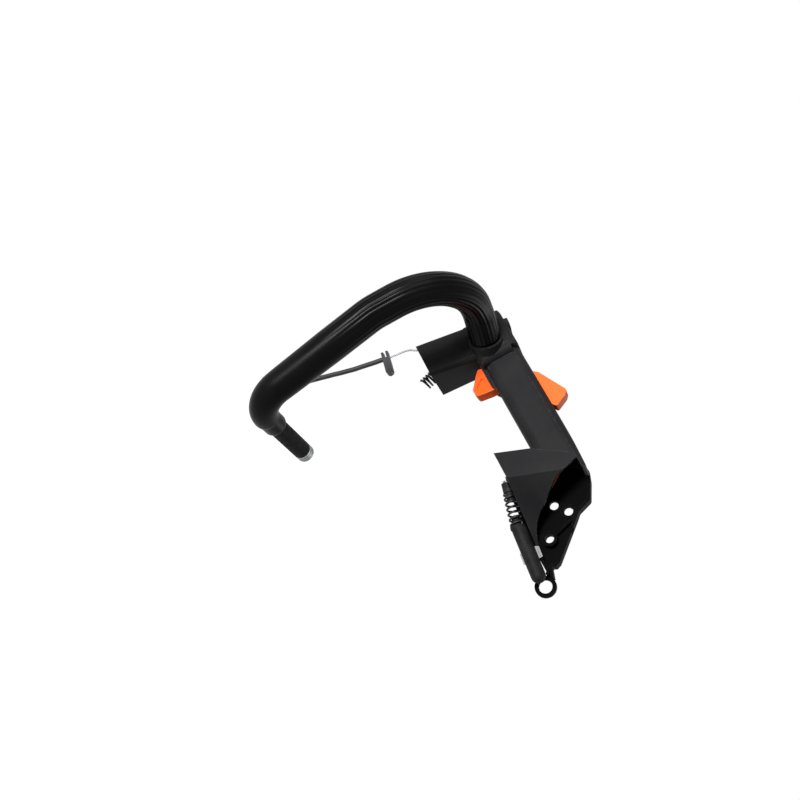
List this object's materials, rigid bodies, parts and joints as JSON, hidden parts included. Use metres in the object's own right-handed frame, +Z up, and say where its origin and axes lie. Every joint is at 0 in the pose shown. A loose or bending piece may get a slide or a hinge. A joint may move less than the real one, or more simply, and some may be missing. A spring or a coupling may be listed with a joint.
{
  "type": "chainsaw handle",
  "caption": "Top handle of a small chain saw: grip with throttle trigger and lockout, bent handlebar in a ribbed sleeve, rear plate, damping springs and throttle cable.",
  "frame": {"origin": "centre of the front bolt hole of the rear plate, on the plate's outer face, where the saw carries it", "axes": "+X to the saw's front, +Y to its left, against the bolt hole's axis, +Z up, as the handle sits on a level saw"},
  "size_m": [0.2747, 0.1487, 0.2356],
  "materials": {
    "housing_plastic": "moulded black, lightly textured, soft sheen",
    "cover_plastic": "moulded black, fine texture",
    "plate_plastic": "moulded black, satin",
    "sleeve_rubber": "black moulded rubber, fine lengthwise ribs, matt",
    "tube_steel": "black coated steel, rough and worn at its bare end",
    "screw_steel": "dark zinc-coated steel",
    "bright_steel": "bright steel",
    "spring_steel": "dark spring wire",
    "trigger_orange": "moulded orange, satin",
    "lockout_orange": "moulded orange, satin",
    "seat_plastic": "moulded black, plain",
    "buffer_rubber": "dark grey rubber, matt",
    "lead_orange": "insulated lead, orange-red",
    "cable_steel": "twisted bare wire",
    "cable_plastic": "dark grey sheath, satin"
  },
  "bodies": {
    "root": {"grip_housing": "housing_plastic", "grip_cover": "cover_plastic", "rear_plate": "plate_plastic", "handlebar_tube": "tube_steel", "handlebar_sleeve": "sleeve_rubber", "handlebar_insert": "bright_steel", "handlebar_clamp": "housing_plastic", "clamp_screws": "screw_steel", "cover_screws": "screw_steel", "plate_screws": "screw_steel", "trigger_pin": "bright_steel", "trigger_spring": "spring_steel", "lockout_pin": "bright_steel", "lockout_spring": "spring_steel", "front_spring": "spring_steel", "front_spring_seat": "seat_plastic", "front_spring_screw": "bright_steel", "rear_spring": "spring_steel", "rear_spring_seat": "seat_plastic", "rear_buffer": "buffer_rubber", "rear_buffer_clip": "bright_steel", "rear_spring_screw": "screw_steel", "stop_lead": "lead_orange", "cable_guide": "seat_plastic", "cable_wire": "cable_steel", "cable_clip": "cable_plastic", "cable_sheath": "cable_plastic", "cable_nipple": "bright_steel"},
    "throttle_trigger": {"throttle_trigger": "trigger_orange"},
    "trigger_lockout": {"trigger_lockout": "lockout_orange"}
  },
  "joints": [
    {"name": "trigger_squeeze", "type": "hinge", "parent": "root", "child": "throttle_trigger", "pos_m": [0.1265, 0.0185, 0.013], "axis": [0, 1, 0], "range_deg": [0, 16], "stiffness_Nm_per_rad": 0.3, "springref_deg": -28.65},
    {"name": "lockout_press", "type": "hinge", "parent": "root", "child": "trigger_lockout", "pos_m": [0.1125, 0.0185, 0.029], "axis": [0, -1, 0], "range_deg": [0, 14], "stiffness_Nm_per_rad": 0.2, "springref_deg": -28.65}
  ]
}
